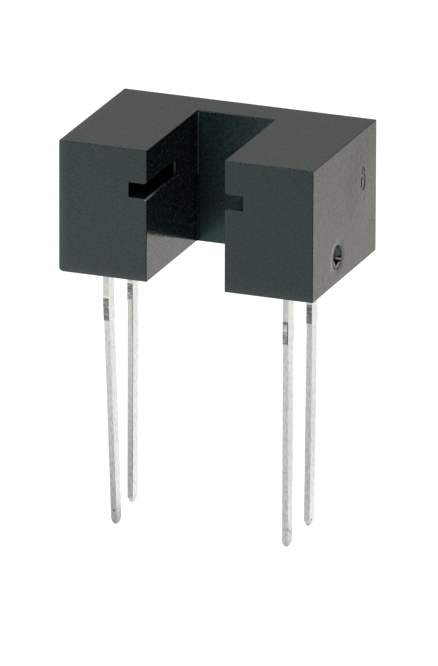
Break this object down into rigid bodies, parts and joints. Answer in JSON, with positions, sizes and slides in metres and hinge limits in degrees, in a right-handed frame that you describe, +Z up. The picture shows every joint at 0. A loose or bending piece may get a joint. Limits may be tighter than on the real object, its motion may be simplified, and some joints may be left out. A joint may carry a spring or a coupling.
{
  "type": "slotted optical switch",
  "caption": "Slotted optical switch: a black U-shaped case with facing slits across its gap, on slender straight solder leads.",
  "frame": {"origin": "on the board's surface, at the centre of the rectangle that the four leads form, straight below the middle of the light path", "axes": "+X across the gap from the emitter's arm to the detector's arm, +Y from the open end of the gap to the back wall, +Z up from the board"},
  "size_m": [0.0104, 0.0068, 0.0156],
  "materials": {
    "case_plastic": "moulded black, fine spark texture, semi-matt",
    "emitter_epoxy": "clear moulded epoxy, faint blue",
    "detector_epoxy": "dark infrared-pass epoxy, glossy",
    "tinned_lead": "tin-plated iron alloy, satin",
    "led_die": "sawn semiconductor, glossy",
    "silicon_die": "sawn silicon, glossy",
    "gold_wire": "drawn gold"
  },
  "bodies": {
    "root": {"case": "case_plastic", "emitter_body": "emitter_epoxy", "detector_body": "detector_epoxy", "emitter_anode_lead": "tinned_lead", "emitter_cathode_lead": "tinned_lead", "detector_collector_lead": "tinned_lead", "detector_emitter_lead": "tinned_lead", "emitter_chip": "led_die", "detector_chip": "silicon_die", "emitter_bond_wire": "gold_wire", "detector_bond_wire": "gold_wire"}
  },
  "joints": []
}
